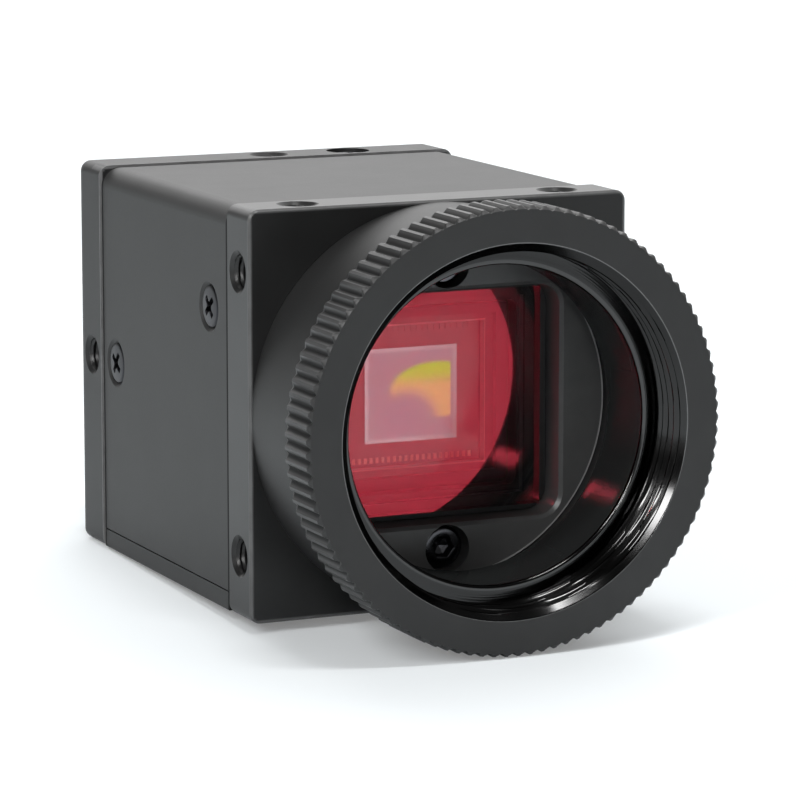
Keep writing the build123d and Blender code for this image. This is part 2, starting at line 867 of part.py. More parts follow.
tongue_z = usb_height + tongue_rise
bays = (
    (-usb_narrow / 2, usb_wide - 2 * wide_tongue_margin),
    (usb_wide / 2, usb_narrow - 2 * narrow_tongue_margin),
)
with BuildPart() as usb_insulator:
    tongue_root = rear_front + usb_base
    slab(interface_back, rear_front, profile=usb_outline(rear_front, usb_sheet))
    slab(rear_front, tongue_root, profile=usb_outline(tongue_root, -usb_inner_gap))
    with BuildSketch(section(plinth_back - usb_recess)):
        for bay_x, bay_width in bays:
            with Locations((bay_x, tongue_z)):
                Rectangle(bay_width, tongue_thickness)
    slab(tongue_root, plinth_back - usb_recess)
save(usb_insulator, "usb_insulator")

with BuildPart() as usb_contacts:
    contact_z = tongue_z - tongue_thickness / 2 - contact_thickness / 2
    contact_end = plinth_back - usb_recess - contact_inset
    with BuildSketch(section(contact_end)):
        for bay_x, bay_width in bays:
            contact_pitch = (bay_width - 2 * contact_inset) / (contact_count - 1)
            with Locations((bay_x, contact_z)):
                with GridLocations(contact_pitch, 1, contact_count, 1):
                    Rectangle(contact_width, contact_thickness)
    slab(tongue_root, contact_end)
save(usb_contacts, "usb_contacts")

# Round power socket: turned barrel with a key, flange washer, inner nut, insulator and pins
with BuildPart() as socket_barrel:
    barrel_front = rear_front - nut_thickness - barrel_inner_end
    ring(barrel_front, flange_back, barrel_stem_radius, barrel_bore_radius, *socket_centre)
    ring(flange_back, barrel_back, barrel_radius, barrel_bore_radius, *socket_centre)
    with BuildSketch(section(barrel_back - key_drop)):
        with Locations((socket_x, socket_z + barrel_bore_radius - key_height / 2 + key_root)):
            Rectangle(key_width, key_height + 2 * key_root)
    slab(barrel_back - insulator_drop, barrel_back - key_drop)
save(socket_barrel, "socket_barrel")

with BuildPart() as socket_flange:
    ring(boss_back, flange_back, flange_radius, barrel_stem_radius + barrel_clearance, *socket_centre)
save(socket_flange, "socket_flange")

with BuildPart() as socket_nut:
    with BuildSketch(section(rear_front)):
        with Locations(socket_centre):
            RegularPolygon(nut_radius, 6)
            Circle(barrel_stem_radius + barrel_clearance, mode=Mode.SUBTRACT)
    slab(rear_front - nut_thickness, rear_front)
save(socket_nut, "socket_nut")

with BuildPart() as socket_insulator:
    insulator_back = barrel_back - insulator_drop
    with BuildSketch(section(insulator_back)):
        with Locations(socket_centre):
            Circle(barrel_bore_radius - barrel_clearance)
            with PolarLocations(pin_reach, pin_count):
                Circle(pin_radius + pin_clearance, mode=Mode.SUBTRACT)
    slab(barrel_front, insulator_back)
save(socket_insulator, "socket_insulator")

with BuildPart() as socket_pins:
    with BuildSketch(section(barrel_back - pin_drop)):
        with Locations(socket_centre):
            with PolarLocations(pin_reach, pin_count):
                Circle(pin_radius)
    slab(interface_back, barrel_back - pin_drop)
save(socket_pins, "socket_pins")

# Status light: a lamp on the interface board and the clear pipe that carries it to the rear face
with BuildPart() as status_lamp:
    with BuildSketch(section(interface_back + led_thickness)):
        with Locations((light_x, light_z)):
            Rectangle(led_size, led_size)
    slab(interface_back, interface_back + led_thickness)
save(status_lamp, "status_lamp")

with BuildPart() as light_pipe:
    with BuildSketch(section(rear_back)):
        with Locations((light_x, light_z)):
            Circle(light_radius)
    slab(interface_back + led_thickness + led_gap, rear_back)
save(light_pipe, "light_pipe")
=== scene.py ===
import json
import math

import bpy
import numpy as np
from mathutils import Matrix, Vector


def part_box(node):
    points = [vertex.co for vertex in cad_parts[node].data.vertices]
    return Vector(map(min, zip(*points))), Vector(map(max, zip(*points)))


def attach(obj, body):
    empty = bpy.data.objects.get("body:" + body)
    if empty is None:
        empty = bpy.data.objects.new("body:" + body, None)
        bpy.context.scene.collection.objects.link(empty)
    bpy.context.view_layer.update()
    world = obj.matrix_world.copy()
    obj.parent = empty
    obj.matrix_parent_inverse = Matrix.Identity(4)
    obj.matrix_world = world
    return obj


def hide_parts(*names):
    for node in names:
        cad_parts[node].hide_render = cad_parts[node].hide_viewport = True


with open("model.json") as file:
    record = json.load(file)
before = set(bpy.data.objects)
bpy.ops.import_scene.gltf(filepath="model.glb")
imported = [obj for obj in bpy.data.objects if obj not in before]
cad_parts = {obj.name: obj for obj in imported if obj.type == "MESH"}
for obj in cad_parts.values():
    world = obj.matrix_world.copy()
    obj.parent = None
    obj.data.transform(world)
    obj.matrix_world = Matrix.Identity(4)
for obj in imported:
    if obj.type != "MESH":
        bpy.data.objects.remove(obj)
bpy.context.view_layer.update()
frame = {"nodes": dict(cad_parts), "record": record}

MM = 0.001

# The camera, from the calibrated view of the photograph, re-aimed at the middle of the object
VIEW_FROM = Vector((-122.97, -252.86, 50.34)) * MM
VIEW_AT = Vector((0.4, 20.3, -0.9)) * MM
LENS_MM = 190.0

# The floor touches the knurl's back end and the rear plate's lower edge
FLOOR_SIZE = 3.0
RING_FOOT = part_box("adapter_ring")[0].z
RING_FOOT_Y = 3.85 * MM
PLATE_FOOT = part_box("rear_plate")[0].z
PLATE_FOOT_Y = 45.7 * MM
FLOOR_SLOPE = (PLATE_FOOT - RING_FOOT) / (PLATE_FOOT_Y - RING_FOOT_Y)

# The adapter ring in millimetres: sizes from the part's source, and the step's and the thread's relief
CREST_RADIUS = 15.5
GROOVE_DEPTH = 0.3
RING_TEETH = 105
RING_CHAMFER = 0.25
KNURL_END = 3.85
RING_THICKNESS = 4.7
RING_LAND = 0.55
SPIGOT_RADIUS = 12.1
SPIGOT_BACK = 8.5
BORE_RADIUS = 11.1
STEP_Y = 3.1
STEP_ROUND = 0.22
THREAD_RADIUS = 12.3
THREAD_DEPTH = 0.3
THREAD_PITCH = 0.79375
MOUTH_RADIUS = 12.95

# Plates, cover, screws and tapped holes: sizes from the part's source, and the relief drawn on them
HALF = 14.5
FRONT_PLATE = (12.5, 16.7)
REAR_PLATE = (41.7, 45.7)
NECK_BACK = 12.4
COVER_ENDS = (16.78, 41.72)
COVER_FACE = 14.35
FRONT_SCREW_Y = 20.304
FRONT_SCREW_Z = 6.8
REAR_SCREW_Y = 39.096
HOLDER_SCREW_Z = 10.1
HEAD_RADIUS = 1.5
SHANK_RADIUS = 0.8
SCREW_PITCH = 0.4
SCREW_LENGTH = 3.6
CROSS_HALF = 0.225
CROSS_DEPTH = 0.5
CROSS_REACH = 0.9
KEY_HALF = 0.65
KEY_DEPTH = 0.66
HOLDER_HEAD_HEIGHT = 1.4
HOLDER_SCREW_LENGTH = 4.5
TAP_RADIUS = 1.25
TAP_MOUTH = 0.25
TAP_DEPTH = 2.9
TAP_PITCH = 0.5
TAP_SPACING = 20.0
SPIGOT_THREAD = (5.0, 8.15)
NECK_THREAD = (5.3, 10.9)

# The sensor from its middle, across and up: its image area, the pale edge of its cavity, its side pads
IMAGE_HALF = (3.25, 3.05)
CAVITY_HALF = (5.45, 5.1)
CAVITY_EDGE_Y = 17.6
SIDE_PADS_X = 4.6

# The grain of blasted aluminium, and the world's strength as fill light and in glosses
GRAIN = 0.12 * MM
WORLD_FILL = 0.22
WORLD_GLOSS = 0.38

# Lamps: name, place, width and height in metres, watts; all aim at the object
LAMP_AIM = (0, 0.02, 0)
LAMPS = (
    ("overhead", (0.2, 0.3, 0.5), 0.8, 0.5, 2.9),
    ("back", (0.28, 0.62, 0.25), 1.0, 0.22, 1.4),
    ("above", (0.0, -0.17, 0.55), 0.2, 0.05, 1.1),
    ("left", (-0.37, -0.25, 0.31), 0.06, 0.3, 1.5),
    ("front", (-0.21, -0.57, 0.19), 0.07, 0.045, 0.36),
)


class Wire:
    """A socket of a material's nodes, so that shader maths reads as Python."""

    def __init__(self, tree, socket=None):
        self.tree = tree
        self.socket = socket

    def node(self, kind, settings=None, inputs=None, out=0):
        """Adds a node: its settings first, then its inputs, values or wires, by name or number."""
        made = self.tree.nodes.new(kind)
        for name, value in (settings or {}).items():
            setattr(made, name, value)
        for name, value in (inputs or {}).items():
            if isinstance(value, Wire):
                self.tree.links.new(value.socket, made.inputs[name])
            else:
                made.inputs[name].default_value = value
        return Wire(self.tree, made.outputs[out] if len(made.outputs) else None)

    def math(self, operation, a, b=0.0):
        return self.node("ShaderNodeMath", {"operation": operation}, {0: a, 1: b})

    def __add__(self, other):
        return self.math("ADD", self, other)

    def __radd__(self, other):
        return self.math("ADD", other, self)

    def __sub__(self, other):
        return self.math("SUBTRACT", self, other)

    def __rsub__(self, other):
        return self.math("SUBTRACT", other, self)

    def __mul__(self, other):
        return self.math("MULTIPLY", self, other)

    def __rmul__(self, other):
        return self.math("MULTIPLY", other, self)

    def __truediv__(self, other):
        return self.math("DIVIDE", self, other)

    def __pow__(self, other):
        return self.math("POWER", self, other)

    def __lt__(self, other):
        return self.math("LESS_THAN", self, other)

    def __gt__(self, other):
        return self.math("GREATER_THAN", self, other)

    def __abs__(self):
        return self.math("ABSOLUTE", self)

    def at_least(self, other):
        return self.math("MAXIMUM", self, other)

    def at_most(self, other):
        return self.math("MINIMUM", self, other)

    def rise(self, low, high):
        """0 up to low, 1 from high on, and a smooth rise between; with low above high it falls."""
        if low > high:
            return 1.0 - self.rise(high, low)
        settings = {"interpolation_type": "SMOOTHSTEP"}
        inputs = {"Value": self, "From Min": low, "From Max": high}
        return self.node("ShaderNodeMapRange", settings, inputs)


def grey(value):
    return (value, value, value)


def new_material(name):
    """An empty node material; returns it, its wire factory and its object coordinates."""
    material = bpy.data.materials.new(name)
    material.use_nodes = True
    material.node_tree.nodes.clear()
    maker = Wire(material.node_tree)
    place = maker.node("ShaderNodeTexCoord", out=3)
    return material, maker, place


def finish_material(maker, shader):
    maker.node("ShaderNodeOutputMaterial", inputs={0: shader})


def principled(maker, inputs):
    return maker.node("ShaderNodeBsdfPrincipled", {}, inputs)


def relief(maker, height, depth):
    """Bump of a height from 0 to 1, as deep as given in millimetres."""
    inputs = {"Strength": 0.6, "Distance": depth * MM, "Height": height}
    return maker.node("ShaderNodeBump", {}, inputs)


def millimetres(maker, place):
    """The object coordinates as three wires in millimetres."""
    split = maker.node("ShaderNodeSeparateXYZ", {}, {0: place})
    return [Wire(maker.tree, output) * 1000.0 for output in split.socket.node.outputs]


def lines_along(maker, distance, spacing, detail=2.0):
    """Fine parallel lines: noise of one wire in millimetres, about the given spacing apart."""
    inputs = {"W": distance, "Scale": 1 / spacing, "Detail": detail}
    return maker.node("ShaderNodeTexNoise", {"noise_dimensions": "1D"}, inputs)


def noise(maker, place, size, detail=3.0, roughness=0.55):
    """Noise whose grains are about the given size in metres, from 0 to 1."""
    inputs = {"Vector": place, "Scale": 1 / size, "Detail": detail, "Roughness": roughness}
    return maker.node("ShaderNodeTexNoise", {}, inputs)


def grain(maker, place):
    """The fine, even grain of blasted aluminium."""
    return noise(maker, place, GRAIN, 2.0, 0.6)


def mix_colour(maker, factor, low, high):
    """Blends two colours; the factor is a wire or a number."""
    made = maker.node("ShaderNodeMix", {"data_type": "RGBA"}, {0: factor}, out=2)
    for number, colour in ((6, low), (7, high)):
        target = made.socket.node.inputs[number]
        if isinstance(colour, Wire):
            maker.tree.links.new(colour.socket, target)
        else:
            target.default_value = (*colour, 1.0)
    return made


def near_ends(y, ends, start, full):
    """1 within the full distance of either end along y, and 0 from the start distance on."""
    front, back = ends
    return y.rise(front + start, front + full).at_least(y.rise(back - start, back - full))


def anodised(name, shade, roughness, specular=0.5, sheen_ends=None, sheen_shades=(0.1, 0.1), neck=None, shade_ends=None):
    """Blasted and anodised aluminium: a dark colour with cloudy variation and a fine, even grain.

    With worn, the front and back of a plate in millimetres along y, its outer edges get a painted highlight
    in two shades, one for the front edges and one for the back ones. What stands ahead of neck is satin.
    With seams, the ends of a sheet along y, the sheet is dull and darker close to them: painted shade in
    the joints.
    """
    material, maker, place = new_material(name)
    x, y, z = millimetres(maker, place)
    cloud = noise(maker, place, 4 * MM, 4.0)
    fine = grain(maker, place)
    colour = mix_colour(maker, cloud, grey(shade * 0.8), grey(shade * 1.2))
    gloss = roughness + 0.06 * (cloud - 0.5) + 0.05 * (fine - 0.5)
    if sheen_ends:
        # Painted highlight: a plate's outer edges and corners are lighter, one shade at the front and one
        # at the back.
        sheen_noise = noise(maker, place, 1.5 * MM, 3.0)
        faces = [abs(axis).rise(HALF - 0.32, HALF - 0.18) for axis in (x, z)]
        corners = [abs(axis).rise(HALF - 0.5, HALF - 0.35) for axis in (x, z)]
        rims = faces[0].at_least(faces[1]) * near_ends(y, sheen_ends, 0.3, 0.1)
        edge = rims.at_least(corners[0] * corners[1] * 0.5) * (0.4 + 0.9 * sheen_noise)
        edge_sheen_colour = mix_colour(maker, y > (sheen_ends[0] + sheen_ends[1]) / 2, grey(sheen_shades[0]), grey(sheen_shades[1]))
        colour = mix_colour(maker, edge.at_most(1.0), colour, edge_sheen_colour)
    if neck:
        turned = y < neck
        colour = mix_colour(maker, turned, colour, grey(shade * 1.6))
        gloss = gloss + 0.14 * turned
    if shade_ends:
        # Painted shade: the sheet is darker and duller close to its ends, in the joints with the plates.
        joint_shade = near_ends(y, shade_ends, 0.34, 0.2)
        colour = mix_colour(maker, joint_shade, colour, grey(0.004))
        gloss = gloss.at_least(joint_shade * 0.95)
    inputs = {
        "Base Color": colour,
        "Roughness": gloss,
        "Specular IOR Level": specular,
        "Normal": relief(maker, fine, 0.004),
    }
    finish_material(maker, principled(maker, inputs))
    return material


def turned_black():
    """The ring's finish: satin outside, with painted shade in the knurl's valleys and a painted highlight
    on its crests, glossy with fine turning lines in its mouth, and a painted highlight at three edges.

    Behind the step the bore is sooty: half a mirror and half a dull black.
    """
    material, maker, place = new_material("black_anodised_ring")
    x, y, z = millimetres(maker, place)
    radius = (x * x + z * z) ** 0.5
    ahead = (radius < MOUTH_RADIUS + 0.03) * (y < STEP_Y + 0.9)
    bored = ahead.at_least(radius < BORE_RADIUS + 0.4)
    deep = y > STEP_Y + 0.3
    mouth = bored * (1 - deep)
    mouth_edge = (abs(radius - MOUTH_RADIUS - 0.02) < 0.035) * (y < 0.03)
    inner_edge = (y > SPIGOT_BACK - 0.13) * (radius < BORE_RADIUS + 0.3)
    step_edge = (y > STEP_Y) * (y < STEP_Y + 0.3) * (radius < BORE_RADIUS + 0.35)
    knurled = (y > 0.2) * (y < KNURL_END + 0.05) * (radius > CREST_RADIUS - 0.4)
    # Painted shade darkens the knurl's valleys, and a painted highlight lightens its crests.
    valley = radius.rise(CREST_RADIUS - 0.06, CREST_RADIUS - 0.26) * knurled
    lines = lines_along(maker, radius + y, 0.09)
    cloud = noise(maker, place, 3 * MM, 4.0)
    fine = grain(maker, place)
    satin = mix_colour(maker, cloud, grey(0.014), grey(0.024))
    knurl_shading = mix_colour(maker, valley, grey(0.03), grey(0.004))
    outside = mix_colour(maker, knurled, satin, knurl_shading)
    black = mix_colour(maker, bored, outside, (0.02, 0.032, 0.031))
    black = mix_colour(maker, mouth, black, grey(0.045))
    # Painted highlights: lighter lines along the mouth's edge, the spigot's inner end and the step's edge.
    edge_highlights = (mouth_edge * 0.4 + inner_edge * 0.6).at_least(step_edge * 0.12)
    height = fine * (1 - bored) * 0.5 + lines * mouth
    inputs = {
        "Base Color": mix_colour(maker, edge_highlights, black, grey(0.3)),
        "Metallic": 1.0 * bored,
        "Roughness": 0.42 - bored * 0.29 + 0.3 * valley + 0.05 * (fine - 0.5) * (1 - bored),
        "Normal": relief(maker, height, 0.005),
    }
    soot = maker.node("ShaderNodeBsdfDiffuse", {}, {"Color": (0.028, 0.03, 0.03, 1.0)})
    mixed = {0: 0.55 * deep * bored, 1: principled(maker, inputs), 2: soot}
    finish_material(maker, maker.node("ShaderNodeMixShader", {}, mixed))
    return material


def plain_metal(name, colour, roughness, scratch=0.05):
    """Bare or plated metal with faint cloudy wear in its gloss."""
    material, maker, place = new_material(name)
    cloud = noise(maker, place, 1.2 * MM, 4.0)
    inputs = {
        "Base Color": mix_colour(maker, cloud, [c * 0.88 for c in colour], colour),
        "Metallic": 1.0,
        "Roughness": roughness + scratch * (cloud - 0.5) * 2,
    }
    finish_material(maker, principled(maker, inputs))
    return material


def plastic(name, colour, roughness):
    """Moulded plastic, rubber or resin with a faintly cloudy colour and gloss."""
    material, maker, place = new_material(name)
    cloud = noise(maker, place, 0.8 * MM, 3.0)
    inputs = {
        "Base Color": mix_colour(maker, cloud, [c * 0.9 for c in colour], colour),
        "Roughness": roughness + 0.08 * (cloud - 0.5),
    }
    finish_material(maker, principled(maker, inputs))
    return material


def filter_glass():
    """Coated glass: the front face mirrors in red under a faint haze, and the rest is clear."""
    material, maker, place = new_material("red_mirror_glass")
    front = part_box("ir_cut_filter")[0].y / MM
    y = millimetres(maker, place)[1]
    coated = y < front + 0.02
    inputs = {
        "Base Color": mix_colour(maker, coated, grey(0.01), (0.97, 0.06, 0.1)),
        "Metallic": 1.0,
        "Roughness": 0.03,
        "Coat Weight": coated * 0.9,
        "Coat Roughness": 0.5,
        "Alpha": 0.02 + 0.32 * coated,
    }
    finish_material(maker, principled(maker, inputs))
    return material


def clear_glass():
    """The sensor's cover glass: a faint mirror with a trace of cleaning haze in its gloss."""
    material, maker, place = new_material("clear_glass")
    haze = noise(maker, place, 2 * MM, 2.0)
    inputs = {
        "Base Color": (1.0, 1.0, 1.0, 1.0),
        "Metallic": 1.0,
        "Roughness": 0.01 + 0.02 * haze,
        "Alpha": 0.03,
    }
    finish_material(maker, principled(maker, inputs))
    return material


def sensor_surface():
    """The sensor's own surface: a lavender mirror, with a painted reflection of the arc of green and orange
    that its fine grid throws back.

    The arc is what lies inside an ellipse about (2.0, 0.2) mm and outside a circle about (-0.4, -2.3) mm.
    """
    material, maker, place = new_material("sensor_surface")
    x, _, z = millimetres(maker, place)
    across = (x - 2.0) / 3.9
    up = (z - 0.2) / 2.2
    inside = (1.0 - across * across - up * up).rise(-0.04, 0.32)
    right = x + 0.4
    low = z + 2.3
    outside = ((right * right + low * low) ** 0.5).rise(1.7, 3.3)
    arc = inside * outside * x.rise(IMAGE_HALF[0], IMAGE_HALF[0] - 0.25)
    border = (abs(x) - IMAGE_HALF[0]).at_least(abs(z) - IMAGE_HALF[1]).rise(-0.1, 0.2)
    cloud = noise(maker, place, 3 * MM, 2.0)
    lavender = mix_colour(maker, cloud, (0.26, 0.31, 0.42), (0.28, 0.39, 0.37))
    # Painted reflection: the green and orange arc that the fine grid throws back.
    painted_rainbow = mix_colour(maker, z.rise(1.7, 0.4), (0.45, 1.0, 0.0), (1.0, 0.72, 0.24))
    image = mix_colour(maker, arc, lavender, painted_rainbow)
    grid = (lines_along(maker, x, 0.05, 0.0) + lines_along(maker, z, 0.05, 0.0)) * 0.5
    faint = {"Strength": 0.05, "Distance": 0.0004 * MM, "Height": grid}
    inputs = {
        "Base Color": mix_colour(maker, border, image, (0.5, 0.68, 0.7)),
        "Metallic": 1.0,
        "Roughness": 0.12 + 0.1 * border,
        "Normal": maker.node("ShaderNodeBump", {}, faint),
    }
    finish_material(maker, principled(maker, inputs))
    return material


def package_ceramic():
    """The sensor's dark ceramic body, paler along the edge of its cavity."""
    material, maker, place = new_material("dark_ceramic")
    x, y, z = millimetres(maker, place)
    cloud = noise(maker, place, 0.8 * MM, 3.0)
    from_edge = abs((abs(x) - CAVITY_HALF[0]).at_least(abs(z) - CAVITY_HALF[1]))
    line = from_edge.rise(0.16, 0.05) * (y < CAVITY_EDGE_Y)
    dark = mix_colour(maker, cloud, (0.02, 0.015, 0.02), (0.03, 0.02, 0.025))
    inputs = {
        "Base Color": mix_colour(maker, line * 0.8, dark, (0.5, 0.42, 0.4)),
        "Roughness": 0.4 + 0.08 * (cloud - 0.5),
    }
    finish_material(maker, principled(maker, inputs))
    return material


def gold_pads():
    """Gold plated contacts, with a painted highlight low on the right and painted shade from the rim along
    the upper row.
    """
    material, maker, place = new_material("gold_pads")
    x, _, z = millimetres(maker, place)
    cloud = noise(maker, place, 0.4 * MM)
    lower = mix_colour(maker, cloud, (0.16, 0.14, 0.12), (0.36, 0.3, 0.24))
    # Painted shade darkens the upper row, and a painted highlight lightens the pads low on the right.
    colour = mix_colour(maker, z > 0.0, lower, (0.05, 0.04, 0.03))
    inputs = {
        "Base Color": mix_colour(maker, (x > SIDE_PADS_X) * (z < 0.0), colour, (1.0, 0.8, 0.6)),
        "Metallic": 1.0,
        "Roughness": 0.25 + 0.1 * cloud,
    }
    finish_material(maker, principled(maker, inputs))
    return material


def anodised_holder():
    """The mount's floor: satin black with a painted highlight along its rim."""
    material, maker, place = new_material("black_anodised_holder")
    x, y, z = millimetres(maker, place)
    radius = (x * x + z * z) ** 0.5
    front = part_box("filter_holder")[0].y / MM
    # Painted highlight: a lighter ring along the rim of the floor.
    rim = (radius > THREAD_RADIUS - 0.22) * (y < front + 0.3)
    cloud = noise(maker, place, 2 * MM, 4.0)
    fine = grain(maker, place)
    satin = mix_colour(maker, cloud, grey(0.06), grey(0.09))
    inputs = {
        "Base Color": mix_colour(maker, rim, satin, grey(0.3)),
        "Roughness": 0.34 + 0.08 * (cloud - 0.5) + 0.06 * (fine - 0.5),
        "Normal": relief(maker, fine, 0.004),
    }
    finish_material(maker, principled(maker, inputs))
    return material


BLACK_COVER = anodised("black_anodised_cover", 0.02, 0.5, shade_ends=COVER_ENDS)
BLACK_PLATE = anodised("black_anodised_plate", 0.01, 0.36, sheen_ends=FRONT_PLATE, neck=NECK_BACK)
BLACK_REAR = anodised("black_anodised_rear", 0.012, 0.46, 0.45, sheen_ends=REAR_PLATE, sheen_shades=(0.18, 0.06))
BLACK_RING = turned_black()
MATERIALS = {
    "front_housing": BLACK_PLATE,
    "cover": BLACK_COVER,
    "base_plate": anodised("black_anodised_base", 0.016, 0.5, shade_ends=COVER_ENDS),
    "rear_plate": BLACK_REAR,
    "adapter_ring": BLACK_RING,
    "spacer_shim": anodised("black_shim", 0.01, 0.5),
    "filter_holder": anodised_holder(),
    "holder_screws": plain_metal("black_oxide_bright", (0.12, 0.12, 0.13), 0.2),
    "cover_screws": plain_metal("black_oxide", (0.05, 0.05, 0.055), 0.35),
    "ir_cut_filter": filter_glass(),
    "filter_gasket": plastic("black_silicone", (0.01, 0.01, 0.01), 0.6),
    "sensor_cover_glass": clear_glass(),
    "sensor_package": package_ceramic(),
    "sensor_die": sensor_surface(),
    "sensor_pads": gold_pads(),
    "gold": plain_metal("gold", (0.9, 0.7, 0.35), 0.25),
    "board": plastic("green_mask", (0.01, 0.06, 0.03), 0.35),
    "chip": plastic("chip_moulding", (0.02, 0.02, 0.02), 0.5),
    "nickel": plain_metal("nickel_plate", (0.68, 0.66, 0.6), 0.22, 0.12),
    "bare_aluminium": plain_metal("mill_aluminium", (0.75, 0.75, 0.77), 0.35),
    "blue_plastic": plastic("blue_moulding", (0.02, 0.16, 0.6), 0.35),
    "black_plastic": plastic("black_moulding", (0.015, 0.015, 0.016), 0.45),
    "thermal": plastic("thermal_pad", (0.35, 0.42, 0.55), 0.8),
    "light_pipe": plastic("smoked_light_pipe", (0.03, 0.032, 0.03), 0.15),
    "lamp": plastic("lamp_resin", (0.7, 0.72, 0.6), 0.3),
}
SHARED = {
    "clamp_screw": "cover_screws",
    "base_screws": "cover_screws",
    "board_screws": "cover_screws",
    "sensor_board": "board",
    "main_board": "board",
    "interface_board": "board",
    "main_chip": "chip",
    "memory_chips": "chip",
    "usb_chip": "chip",
    "front_spacers": "nickel",
    "rear_spacers": "nickel",
    "usb_shell": "nickel",
    "socket_barrel": "nickel",
    "socket_flange": "nickel",
    "socket_nut": "nickel",
    "socket_pins": "gold",
    "usb_contacts": "gold",
    "usb_insulator": "blue_plastic",
    "socket_insulator": "black_plastic",
    "sensor_link": "black_plastic",
    "interface_link": "black_plastic",
    "heat_spreader": "bare_aluminium",
    "thermal_pad": "thermal",
    "status_lamp": "lamp",
}
for node_name, node_object in frame["nodes"].items():
    material = MATERIALS[SHARED.get(node_name, node_name)]
    node_object.data.materials.clear()
    node_object.data.materials.append(material)


def shell(points, capped):
    """One closed surface from a grid of points (rows, columns, 3) in millimetres.

    Its columns close on themselves. Its rows do too, or each end is capped with a fan about its middle.
    Returns the points, the quads and the triangles, turned outwards by the sign of the volume inside.
    """
    rows, columns = points.shape[:2]
    row = np.arange(rows - 1 if capped else rows)[:, None]
    column = np.arange(columns)[None, :]
    next_row = (row + 1) % rows
    next_column = (column + 1) % columns
    corners = [row * columns + column, next_row * columns + column]
    corners += [next_row * columns + next_column, row * columns + next_column]
    quads = np.stack([np.broadcast_to(c, (len(row), columns)) for c in corners], -1).reshape(-1, 4)
    places = points.reshape(-1, 3)
    fans = np.zeros((0, 3), int)
    if capped:
        places = np.concatenate([places, points[[0, -1]].mean(1)])
        first = np.arange(columns)
        second = (first + 1) % columns
        middle = np.full(columns, rows * columns)
        last = (rows - 1) * columns
        near = np.stack([middle, first, second], -1)
        far = np.stack([middle + 1, last + second, last + first], -1)
        fans = np.concatenate([near, far])
    triangles = np.concatenate([quads[:, [0, 1, 2]], quads[:, [0, 2, 3]], fans])
    a, b, c = (places[triangles[:, k]] for k in range(3))
    if np.einsum("ij,ij->i", a, np.cross(b, c)).sum() < 0:
        quads = quads[:, ::-1]
        fans = fans[:, ::-1]
    return places, quads, fans


def piece_from(name, shells, material, sharp_deg=30.0):
    """A mesh object from closed surfaces; edges sharper than the given angle stay sharp."""
    start = 0
    quads, fans = [], []
    for places, four, three in shells:
        quads.append(four + start)
        fans.append(three + start)
        start += len(places)
    quads = np.concatenate(quads)
    fans = np.concatenate(fans)
    places = np.concatenate([part[0] for part in shells]) * MM
    sizes = np.concatenate([np.full(len(quads), 4), np.full(len(fans), 3)])
    mesh = bpy.data.meshes.new(name)
    mesh.vertices.add(len(places))
    mesh.vertices.foreach_set("co", places.ravel())
    mesh.loops.add(int(sizes.sum()))
    mesh.loops.foreach_set("vertex_index", np.concatenate([quads.ravel(), fans.ravel()]))
    mesh.polygons.add(len(sizes))
    mesh.polygons.foreach_set("loop_start", np.concatenate([[0], np.cumsum(sizes)[:-1]]))
    mesh.update(calc_edges=True)
    mesh.shade_smooth()
    mesh.set_sharp_from_angle(angle=math.radians(sharp_deg))
    mesh.materials.append(material)
    piece = bpy.data.objects.new(name, mesh)
    bpy.context.scene.collection.objects.link(piece)
    return piece


def placed(points, origin, along, turn=0.0):
    """Points drawn about z, turned about it, with that axis then laid along a direction from the origin."""
    c, s = math.cos(turn), math.sin(turn)
    spin = np.array([[c, -s, 0.0], [s, c, 0.0], [0.0, 0.0, 1.0]])
    lay = np.array(Vector((0, 0, 1)).rotation_difference(Vector(along)).to_matrix())
    return points @ (lay @ spin).T + np.array(origin)


def turned_rows(profile, angle):
    """Rows of points turned about z: each (radius, z) of the profile is carried round all the angles."""
    radius, z = np.array(profile).T[:, :, None]
    return np.stack([radius * np.cos(angle), radius * np.sin(angle), z + 0 * angle], -1)


def ring_back_outline():
    """The ring's section, with eased corners: land, back face, spigot, its end and the bore."""
    land = CREST_RADIUS - GROOVE_DEPTH
    back = RING_THICKNESS
    outline = [(land - 0.02, back - RING_LAND + 0.05), (land - 0.3, back - 0.26)]
    outline += [(land - 0.54, back - 0.02)]
    outline += [(radius, back) for radius in (land - 0.6, 13.4, SPIGOT_RADIUS + 0.04)]
    outline += [(SPIGOT_RADIUS, y) for y in (back + 0.04, 5.6, 6.6, 7.6, SPIGOT_BACK - 0.32)]
    outline += [(SPIGOT_RADIUS - 0.02, SPIGOT_BACK - 0.28), (SPIGOT_RADIUS - 0.26, SPIGOT_BACK - 0.04)]
    outline += [(radius, SPIGOT_BACK) for radius in (SPIGOT_RADIUS - 0.32, BORE_RADIUS + 0.2)]
    outline += [(BORE_RADIUS + 0.05, SPIGOT_BACK - 0.01), (BORE_RADIUS + 0.01, SPIGOT_BACK - 0.05)]
    return outline + [(BORE_RADIUS, y) for y in (SPIGOT_BACK - 0.12, 7.3, 6.2, 5.1, 4.1)]


